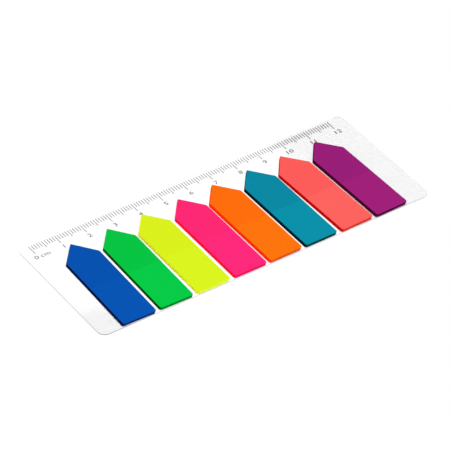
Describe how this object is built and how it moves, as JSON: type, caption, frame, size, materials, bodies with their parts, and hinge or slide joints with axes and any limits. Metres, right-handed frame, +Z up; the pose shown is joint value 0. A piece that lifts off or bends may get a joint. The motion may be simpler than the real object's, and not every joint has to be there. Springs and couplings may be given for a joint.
{
  "type": "sticky index tabs",
  "caption": "Arrow-shaped film index tabs in bright colours, stacked side by side on a clear plastic card with a printed millimetre scale along one long edge.",
  "frame": {"origin": "middle of the card's underside", "axes": "+X along the printed scale towards its high end, +Y towards the long edge that carries the scale, +Z up out of the tabs' faces"},
  "size_m": [0.13, 0.0528, 0.0012],
  "materials": {
    "clear_card": "clear glossy sheet with a thin grey printed scale",
    "blue_film": "satin coloured film",
    "green_film": "satin coloured film",
    "yellow_film": "satin coloured film",
    "pink_film": "satin coloured film",
    "orange_film": "satin coloured film",
    "teal_film": "satin coloured film",
    "coral_film": "satin coloured film",
    "purple_film": "satin coloured film"
  },
  "bodies": {
    "root": {"ruler_card": "clear_card", "blue_tab_stack": "blue_film", "green_tab_stack": "green_film", "yellow_tab_stack": "yellow_film", "pink_tab_stack": "pink_film", "orange_tab_stack": "orange_film", "teal_tab_stack": "teal_film", "coral_tab_stack": "coral_film", "purple_tab_stack": "purple_film"}
  },
  "joints": []
}
